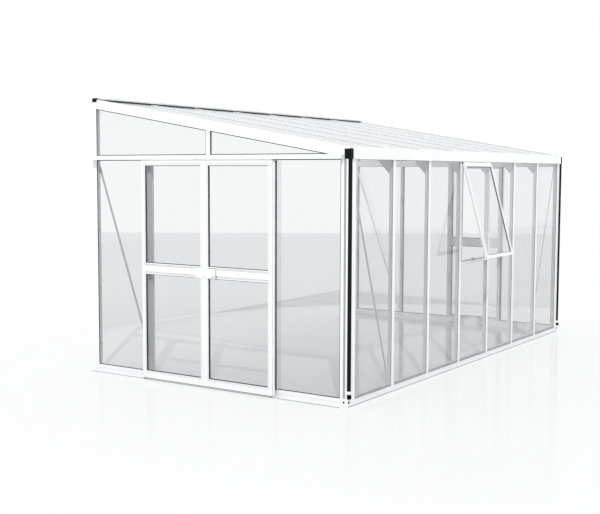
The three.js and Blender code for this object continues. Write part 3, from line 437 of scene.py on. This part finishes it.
STILE = 0.038
LEAF_PANES = [(0.079, 0.896), (0.989, 1.798)]  # heights of the two panes' openings
LEAF_GLASS_OUT, LEAF_GLASS_IN = 0.043, 0.039  # outwards of the gable, as below
LEAF_GROOVE = 0.0505
LEAF_FACE = 0.0541
leaf_box = {leaf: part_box(f"{leaf}_frame") for leaf in ("wall_leaf", "front_leaf", "far_leaf")}


def leaf_end(leaf):
    return FAR if leaf == "far_leaf" else NEAR


def leaf_rings(leaf, *rows):
    """Sweeps each row's section round both panes; a row is (section, depth, facing)."""
    bm = bmesh.new()
    low, high = leaf_box[leaf]
    for height in LEAF_PANES:
        outline = box_outline((low.y + STILE, high.y - STILE), height)
        for section, depth, facing in rows:
            ring(bm, outline, section, gable_plane(leaf_end(leaf), -depth, facing))
    return bm


# Pale grey strips in the leaves' grooves: painted shade, so that the grooves show as dark lines
GROOVE_SHADE_LINE = [(-0.0127, 0.0001), (-0.0093, 0.0001), (-0.0093, 0.0012), (-0.0127, 0.0012)]
for leaf in leaf_box:
    seals = leaf_rings(leaf, (LEAF_OUT, LEAF_GLASS_OUT, 1), (LEAF_IN, LEAF_GLASS_IN, -1))
    piece(f"{leaf}_glazing_seals", seals, rubber, leaf)
    lines = leaf_rings(leaf, (GROOVE_SHADE_LINE, LEAF_GROOVE, 1))
    piece(f"{leaf}_groove_shade_lines", lines, pale, leaf)

# The sash stands open about its bead, and its pieces are placed so
BEAD_DEPTH, BEAD_DROP = 0.010, 0.013
BEAD = Vector((0, FRONT - BEAD_DEPTH, EAVE - BEAD_DROP))
OPEN = math.radians(15.5)
SASH_PANE = box_outline((-0.27225, 0.27225), (-0.846, -0.0335))


def sash_plane(depth, facing=1):
    def place(a, b, out):
        y = depth - facing * out
        back = y * math.cos(OPEN) + b * math.sin(OPEN)
        return BEAD + Vector((a, back, -y * math.sin(OPEN) + b * math.cos(OPEN)))
    return place


def sash_seals():
    bm = bmesh.new()
    ring(bm, SASH_PANE, SASH_WEDGE, sash_plane(-0.004))
    ring(bm, SASH_PANE, SASH_WEDGE, sash_plane(0.0, -1))
    return bm


def sash_groove_shade():
    """Thin grey strips in the grooves of the sash's rails: painted shade of the grooves."""
    bm = bmesh.new()
    section = [(-0.0150, 0.0001), (-0.0136, 0.0001), (-0.0136, 0.0005), (-0.0150, 0.0005)]
    ring(bm, SASH_PANE, section, sash_plane(-0.012))
    return bm


def window_weather_strip():
    """The strip on the window's frame that the shut sash lies on."""
    bm = bmesh.new()
    section = [(0.003, 0.0001), (0.009, 0.0001), (0.0085, 0.0007), (0.0035, 0.0007)]
    outline = box_outline((-0.288, 0.288), (EAVE - 0.897, EAVE - 0.03))
    ring(bm, outline, section, front_plane(-0.001))
    return bm


piece("window_sash_seals", sash_seals(), rubber, "sash")
piece("window_sash_groove_shade", sash_groove_shade(), grey, "sash")
piece("window_weather_strip", window_weather_strip(), rubber, "house")


# Roof: trims and gaskets of the sheets, and the strip and seals on the wall bar

def sheet_trims():
    """Channels that close the sheets' lower ends."""
    bm = bmesh.new()
    section = [
        (0.0435, 0.0009), (0.072, 0.0009), (0.072, -0.0001), (0.0455, -0.0001),
        (0.0455, -0.0165), (0.068, -0.0165), (0.068, -0.0175), (0.0435, -0.0175),
    ]
    for n in range(BAYS):
        ends = bay(n, FACE + 0.0006, VERGE + 0.0006)
        capped(bm, [[bm.verts.new(along_roof(x, y, rise)) for y, rise in section] for x in ends])
    return bm


def roof_gaskets():
    """White gaskets between the roof sheets and the caps over their long edges."""
    bm = bmesh.new()
    low, high = 0.046, RIDGE_FRONT - FRONT
    square = Vector((0, -math.sin(SLOPE), math.cos(SLOPE)))
    edges = [(bar_x(n) + side * FACE, side) for n in range(1, BAYS) for side in (-1, 1)]
    edges += [(-HALF + VERGE, 1), (HALF - VERGE, -1)]
    section = [(0.0003, 0.0001), (-0.0050, 0.0001), (-0.0050, 0.0049), (0.0001, 0.0049)]
    for edge, side in edges:
        start, end = (along_roof(edge, y, 0) for y in (low, high))
        rail(bm, section, start, end, X_AXIS * side, square)
    return bm


def ridge_rail(section, reach):
    """Extrudes a section of (behind the wall bar's front, height) along the bar."""
    bm = bmesh.new()
    start, end = (Vector((side * reach, RIDGE_FRONT, 0)) for side in (-1, 1))
    rail(bm, section, start, end, Y_AXIS, Z_AXIS)
    return bm


def cover_strip():
    """White strip over the wall bar, down to the roof sheets' upper ends."""
    low, top = roof_z(RIDGE_FRONT, 0.0105) + 0.002, RIDGE_TOP - 0.0022
    section = [
        (-0.0102, low), (-0.0102, top), (-0.0088, top + 0.0014), (0.0500, RIDGE_TOP - 0.0005),
        (0.0500, RIDGE_TOP - 0.0020), (-0.0082, top - 0.0004), (-0.0082, low),
    ]
    return ridge_rail(section, HALF + 0.0004)


def wall_seal():
    """Black lip seal under the cover strip, down on the roof sheets."""
    low, top = roof_z(RIDGE_FRONT, 0.0), roof_z(RIDGE_FRONT, 0.0105) + 0.0016
    section = [
        (-0.0125, low - 0.0008), (-0.0098, low + 0.0008), (-0.0078, top),
        (-0.0100, top + 0.0006), (-0.0112, top - 0.002), (-0.0132, low + 0.0012),
    ]
    return ridge_rail(section, HALF - VERGE - 0.0005)


def wall_seal_ends():
    """The seal's raised ends, on the caps of the verges."""
    bm = bmesh.new()
    low = roof_z(RIDGE_FRONT - 0.010, 0.008) + 0.0004
    along = (RIDGE_FRONT - 0.0120, RIDGE_FRONT - 0.0078)
    for end in (NEAR, FAR):
        slab(bm, end, (-VERGE, -0.0002), along, (low, low + 0.0062), 0.0006)
    return bm


def ridge_caps():
    bm = bmesh.new()
    for end in (NEAR, FAR):
        up = (RIDGE_TOP - 0.036, RIDGE_TOP - 0.004)
        slab(bm, end, (0.0006, 0.0034), (WALL - 0.050, WALL), up, 0.0008)
    return bm


piece("roof_sheet_end_trims", sheet_trims(), trim, "house")
piece("roof_bar_gaskets", roof_gaskets(), white, "house")
piece("ridge_cover_strip", cover_strip(), white, "house", 30)
piece("roof_wall_seal", wall_seal(), rubber, "house")
piece("roof_wall_seal_ends", wall_seal_ends(), rubber, "house", 40)
piece("roof_wall_end_caps", ridge_caps(), black, "house", 40)


# Fasteners of the fixed frame

def gusset_bolts():
    bm = bmesh.new()
    for n in range(1, BAYS):
        for y in (FRONT + 0.123, FRONT + 0.147):
            bolt(bm, Vector((bar_x(n) + 0.0059, y, roof_z(y, -0.044))), X_AXIS)
    return bm


def brace_bolts():
    bm = bmesh.new()
    foot = SILL + 0.019
    back = FRONT + 0.0474
    for end in (NEAR, FAR):
        bolt(bm, Vector((end * (HALF - 0.078), back, EAVE - 0.018)), Y_AXIS)
        bolt(bm, Vector((end * (HALF - CORNER - PITCH), back, foot)), Y_AXIS)
        face = end * (HALF - 0.0471)
        bolt(bm, Vector((face, WALL - 0.0215, EAVE - 0.019)), -end * X_AXIS)
        bolt(bm, Vector((face, bar_y(3), foot)), -end * X_AXIS)
    return bm


def wall_bolts():
    """Bolts through the backs of the wall posts and the wall bar."""
    bm = bmesh.new()
    for end in (NEAR, FAR):
        for z in (0.25, 0.75, 1.25, 1.65):
            bolt(bm, Vector((end * (HALF - 0.024), WALL - WALL_FACE - 0.0001, z)), -Y_AXIS)
    for n in range(BAYS):
        bolt(bm, Vector((bar_x(n + 0.5), WALL - 0.0061, RIDGE_TOP - 0.072)), -Y_AXIS)
    return bm


def sill_screws():
    """Screws through the sill into each bar's foot, on the inner side."""
    bm = bmesh.new()
    inner = 0.0451
    for shift in (-0.006, 0.006):
        for n in range(1, BAYS):
            screw(bm, Vector((bar_x(n) + shift, FRONT + inner, SCREW_LINE)), Y_AXIS)
        for end, lines in ((NEAR, (1, 3)), (FAR, (1, 2, 3))):
            for n in lines:
                at = Vector((end * (HALF - inner), bar_y(n) + shift, SCREW_LINE))
                screw(bm, at, -end * X_AXIS)
    return bm


piece("gusset_bolts", gusset_bolts(), steel, "house", 30)
piece("brace_bolts", brace_bolts(), steel, "house", 30)
piece("wall_bolts", wall_bolts(), steel, "house", 30)
piece("sill_screws", sill_screws(), steel, "house", 30)


# Sills and corner posts: gaskets, strips of painted shade, caps and plugs

def sill_gaskets():
    """Grey gaskets over the front sill's lip, at the foot of each front pane."""
    bm = bmesh.new()
    section = [
        (-0.0014, SILL - 0.0130), (-0.0014, SILL + 0.0040), (0.0034, SILL + 0.0090),
        (0.0034, SILL + 0.0002), (-0.0001, SILL + 0.0002), (-0.0001, SILL - 0.0130),
    ]
    for n in range(BAYS):
        ends = bay(n, FACE + 0.0003, CORNER_FRONT + 0.0003)
        start, end = (Vector((x, FRONT, 0)) for x in ends)
        rail(bm, section, start, end, Y_AXIS, Z_AXIS)
    return bm


def sill_feet_and_contact_shadow():
    """Grey seals between the sills and the ground, which also paint the contact shadow along the
    sills' foot.
    """
    bm = bmesh.new()
    low, high = 0.0002, 0.0052
    edge = HALF - 0.002
    cushioned(bm, (-edge, FRONT - 0.0010, low), (edge, FRONT + 0.0010, high), 0.0004)
    for end in (NEAR, FAR):
        slab(bm, end, (0.0430, 0.0442), (FRONT + 0.047, WALL - 0.002), (low, high), 0.0004)
    return bm


def corner_groove_shade_strips():
    """Grey strips in the corner posts' grooves: painted shade of the grooves."""
    bm = bmesh.new()
    along = (FRONT + 0.0255, FRONT + 0.0445)
    for end in (NEAR, FAR):
        slab(bm, end, (-0.0061, -0.0040), along, (0.0660, 1.8400), 0.0004)
    return bm


def sill_end_caps():
    """White plates over the open ends of the front sill."""
    bm = bmesh.new()
    along = (FRONT + 0.0012, FRONT + 0.0438)
    for end in (NEAR, FAR):
        slab(bm, end, (0.0002, 0.0022), along, (0.0012, SILL - 0.0014), 0.0007)
    return bm


def plug(bm, radius, centre, axis):
    """A round plug with a chamfered rim and a dimple."""
    dome = [(1, 0), (1, 0.0016), (0.87, 0.0024), (0.5, 0.0024), (0.45, 0.0016)]
    turned(bm, [(radius * share, along) for share, along in dome], centre, axis, 18)


def sill_plugs():
    """Dark plugs at the corner of the sills, by the post's foot."""
    bm = bmesh.new()
    height = 0.037
    for end in (NEAR, FAR):
        plug(bm, 0.0075, Vector((end * (HALF + 0.0023), FRONT + 0.034, height)), end * X_AXIS)
        plug(bm, 0.0095, Vector((end * (HALF - 0.012), FRONT - 0.0001, height)), -Y_AXIS)
    return bm


piece("front_sill_gaskets", sill_gaskets(), grey, "house")
piece("sill_foot_seals_and_shadow", sill_feet_and_contact_shadow(), grey, "house")
piece("corner_groove_shade_strips", corner_groove_shade_strips(), grey, "house")
piece("sill_end_caps", sill_end_caps(), trim, "house", 40)
piece("sill_end_plugs", sill_plugs(), black, "house", 40)


# Doors: brushes, screws, the closing edge, the tracks' ends and the latch

def leaf_brushes_and_gap_shadow(leaf):
    """Brush strips in the leaf's edges, towards the frame and the other leaf, and one under the
    leaf that also paints the shadow of the gap below it.
    """
    bm = bmesh.new()
    end = leaf_end(leaf)
    low, high = leaf_box[leaf]
    for y in (low.y + 0.007, high.y - 0.007):
        for half, out in ((0.0042, (0.0280, 0.0255)), (0.0022, (0.0255, 0.0045))):
            slab(bm, end, out, (y - half, y + half), (0.070, 1.836), 0.0004)
    # The brush under the bottom rail, dark as painted shadow of the gap below the leaf
    along = (low.y + 0.002, high.y - 0.002)
    slab(bm, end, (0.0518, 0.0536), along, (0.0120, 0.0172), 0.0004)
    return bm


def leaf_screws(leaf):
    """The screws in the leaf's edges that hold its rails to its stiles."""
    bm = bmesh.new()
    low, high = leaf_box[leaf]
    for edge, side in ((low.y, -1), (high.y, 1)):
        for z in (0.048, 0.925, 0.960, 1.820):
            at = Vector((leaf_end(leaf) * (HALF + 0.041), edge + side * 0.0001, z))
            screw(bm, at, side * Y_AXIS, 0.0042)
    return bm


for leaf in leaf_box:
    piece(f"{leaf}_brushes", leaf_brushes_and_gap_shadow(leaf), pile, leaf)
    piece(f"{leaf}_screws", leaf_screws(leaf), steel, leaf, 30)

closing_edge = leaf_box["front_leaf"][0].y
latch_edge = leaf_box["front_leaf"][1].y


def edge_profile():
    """White profile on the front leaf's closing edge, set back from its face."""
    bm = bmesh.new()
    along = (closing_edge - 0.0150, closing_edge - 0.0032)
    slab(bm, NEAR, (0.0460, 0.0320), along, (0.0200, 1.8380), 0.0006)
    along = (closing_edge - 0.0040, closing_edge + 0.0010)
    slab(bm, NEAR, (0.0380, 0.0340), along, (0.0220, 1.8360), 0.0004)
    return bm


def edge_brush():
    """Brush on the profile, towards the gable's frame and pane."""
    bm = bmesh.new()
    along = (closing_edge - 0.0190, closing_edge - 0.0142)
    slab(bm, NEAR, (0.0325, 0.0170), along, (0.0660, 1.8360), 0.0004)
    return bm


def track_ends():
    """Plates that close the ends of the door tracks."""
    bm = bmesh.new()
    front = FRONT + 0.042
    for end in (NEAR, FAR):
        for along in ((WALL + 0.0002, WALL + 0.0020), (front - 0.0020, front - 0.0002)):
            slab(bm, end, (0.0010, 0.0636), along, (EAVE + 0.0006, EAVE + 0.0322), 0.0006)
    return bm


def track_stops():
    """Rubber buffers in the track that the leaves' wheels stop against."""
    bm = bmesh.new()
    for end in (NEAR, FAR):
        for y in (FRONT + 0.048, WALL - 0.012):
            slab(bm, end, (0.052, 0.060), (y, y + 0.008), (EAVE + 0.0036, EAVE + 0.024), 0.0008)
    return bm


def latch_screws(spots):
    """Screws in the latch's case or keeper, above and below at each spot."""
    bm = bmesh.new()
    for y in spots:
        for z in (0.908, 0.962):
            screw(bm, Vector((-HALF - 0.0591, y, z)), -X_AXIS, 0.004)
    return bm


def latch_case_shadow():
    """Dark seam round the latch's case, with a small block at its lower corner: painted shadow of
    the case on the rail.
    """
    bm = bmesh.new()
    section = [(0.0, 0.0), (-0.0024, 0.0), (-0.0024, 0.0012), (0.0, 0.0016)]
    start, end = latch_edge - 0.117, latch_edge - 0.040
    low, high, corner = 0.895, 0.975, 0.008
    outline = [(end, low), (end, high), (start + corner, high), (start, high - corner)]
    outline += [(start, low + corner), (start + corner, low)]
    ring(bm, outline, section, gable_plane(NEAR, -LEAF_FACE))
    along = (start - 0.0062, start - 0.0002)
    slab(bm, NEAR, (0.0556, LEAF_FACE), along, (0.8990, 0.9240), 0.0005)
    return bm


def rail_shadow_gaps(leaf):
    """The two thin grey strips along the mid rail's cover, at its joints: painted shadow of the
    gaps there.
    """
    bm = bmesh.new()
    low, high = leaf_box[leaf]
    along = (low.y + STILE + 0.0005, high.y - STILE - 0.0005)
    for z in (0.9150, 0.9700):
        slab(bm, leaf_end(leaf), (0.0501, 0.0525), along, (z - 0.0012, z + 0.0012), 0.0002)
    return bm


keeper_edge = leaf_box["wall_leaf"][0].y
keeper_screws = latch_screws((keeper_edge + 0.014, keeper_edge + 0.079))
case_screws = latch_screws((latch_edge - 0.105, latch_edge - 0.014))

piece("front_leaf_edge_profile", edge_profile(), white, "front_leaf", 40)
piece("front_leaf_edge_brush", edge_brush(), pile, "front_leaf")
piece("track_end_plates", track_ends(), trim, "house", 40)
piece("track_buffers", track_stops(), rubber, "house", 40)
piece("wall_leaf_keeper_screws", keeper_screws, steel, "wall_leaf", 30)
piece("front_leaf_latch_screws", case_screws, steel, "front_leaf", 30)
piece("latch_case_shadow_seam", latch_case_shadow(), rubber, "front_leaf")
for leaf in leaf_box:
    piece(f"{leaf}_rail_shadow_gaps", rail_shadow_gaps(leaf), grey, leaf)


# Window hinge and downpipes

def hinge_caps():
    """Caps on the ends of the window's hinge bead."""
    bm = bmesh.new()
    profile = [(0.0062, 0), (0.0062, 0.0014), (0.0054, 0.0022)]
    for x, side in ((window_low.x, -1), (window_high.x, 1)):
        centre = Vector((x + side * 0.0002, BEAD.y, BEAD.z))
        turned(bm, profile, centre, side * X_AXIS, 20)
    return bm


def clip_screws():
    bm = bmesh.new()
    for end in (NEAR, FAR):
        pipe = Vector((end * (HALF - 0.0125), FRONT - 0.001, 0.111))
        out = Vector((end, -1, 0)).normalized()
        screw(bm, pipe + out * 0.01852, out, 0.0042)
    return bm


piece("window_hinge_caps", hinge_caps(), black, "house", 40)
piece("downpipe_clip_screws", clip_screws(), steel, "house", 30)


# Camera, light, floor

def camera():
    yaw, pitch, roll = math.radians(33.515), math.radians(4.74), math.radians(0.186)
    flat = math.cos(pitch)
    ahead = Vector((math.cos(yaw) * flat, math.sin(yaw) * flat, -math.sin(pitch)))
    level = Vector((math.sin(yaw), -math.cos(yaw), 0))
    upright = level.cross(ahead)
    right = math.cos(roll) * level + math.sin(roll) * upright
    up = math.cos(roll) * upright - math.sin(roll) * level
    data = bpy.data.cameras.new("camera")
    data.sensor_width = 36
    data.lens = 61.754
    data.clip_end = 200
    obj = bpy.data.objects.new("camera", data)
    turn = Matrix((right, up, -ahead)).transposed().to_4x4()
    obj.matrix_world = Matrix.Translation((-8.7347, -3.8879, 1.7508)) @ turn
    scene.collection.objects.link(obj)
    scene.camera = obj


def world():
    """A plain sky for the light, and plain white wherever it is looked at."""
    made = bpy.data.worlds.new("studio")
    scene.world = made
    made.use_nodes = True
    tree = made.node_tree
    back = tree.nodes["Background"]
    back.inputs["Color"].default_value = (0.985, 0.992, 1.0, 1)
    back.inputs["Strength"].default_value = 0.97
    seen = node(tree, "ShaderNodeBackground", Color=(1, 1, 1, 1), Strength=1.0)
    path = node(tree, "ShaderNodeLightPath")
    first = node(tree, "ShaderNodeMath", operation="MAXIMUM")
    second = node(tree, "ShaderNodeMath", operation="MAXIMUM")
    tree.links.new(path.outputs["Is Camera Ray"], first.inputs[0])
    tree.links.new(path.outputs["Is Glossy Ray"], first.inputs[1])
    tree.links.new(first.outputs["Value"], second.inputs[0])
    tree.links.new(path.outputs["Is Transmission Ray"], second.inputs[1])
    mix = mixed(tree, back.outputs["Background"], seen.outputs["Background"])
    tree.links.new(second.outputs["Value"], mix.inputs["Fac"])
    tree.links.new(mix.outputs["Shader"], tree.nodes["World Output"].inputs["Surface"])


def lamp():
    data = bpy.data.lights.new("key", "SUN")
    data.energy = 1.3
    data.angle = math.radians(0.6)
    obj = bpy.data.objects.new("key", data)
    travel = Vector((0.605, 0.415, -0.679))
    obj.rotation_euler = travel.to_track_quat("-Z", "Y").to_euler()
    obj.location = -travel * 12
    scene.collection.objects.link(obj)


def floor_material():
    """Polished by the house and dull further off; looked at directly, it turns white."""
    mat, tree, bsdf = shader("floor_paint")
    bsdf.inputs["Roughness"].default_value = 0.11
    coords = node(tree, "ShaderNodeTexCoord")
    away = node(tree, "ShaderNodeVectorMath", operation="LENGTH")
    tree.links.new(coords.outputs["Object"], away.inputs[0])
    distance = away.outputs["Value"]
    polish = spread(tree, distance, (1.0, 0.0), (2.6, 4.2)).outputs["Result"]
    tree.links.new(polish, bsdf.inputs["Specular IOR Level"])
    dull, clean = (0.675, 0.68, 0.685), (0.735, 0.74, 0.745)
    ramp(tree, polish, dull, clean, bsdf.inputs["Base Color"], (0.0, 1.0))
    fade = spread(tree, distance, (0.70, 1.0), (1.5, 6.0))
    fade.interpolation_type = "SMOOTHSTEP"
    path = node(tree, "ShaderNodeLightPath")
    seen = node(tree, "ShaderNodeMath", operation="MULTIPLY")
    tree.links.new(fade.outputs["Result"], seen.inputs[0])
    tree.links.new(path.outputs["Is Camera Ray"], seen.inputs[1])
    lit = node(tree, "ShaderNodeEmission", Color=(1, 1, 1, 1), Strength=1.0)
    mix = mixed(tree, bsdf.outputs["BSDF"], lit.outputs["Emission"])
    tree.links.new(seen.outputs["Value"], mix.inputs["Fac"])
    tree.links.new(mix.outputs["Shader"], tree.nodes["Material Output"].inputs["Surface"])
    return mat


def floor():
    bm = bmesh.new()
    bmesh.ops.create_grid(bm, x_segments=2, y_segments=2, size=20.0)
    mesh = bpy.data.meshes.new("floor")
    bm.to_mesh(mesh)
    bm.free()
    mesh.materials.append(floor_material())
    obj = bpy.data.objects.new("floor", mesh)
    obj.rotation_euler = (0, 0, math.radians(33.5))
    obj.location = (0, 0, -0.0006)
    scene.collection.objects.link(obj)


camera()
world()
lamp()
floor()
scene.view_settings.view_transform = "Standard"
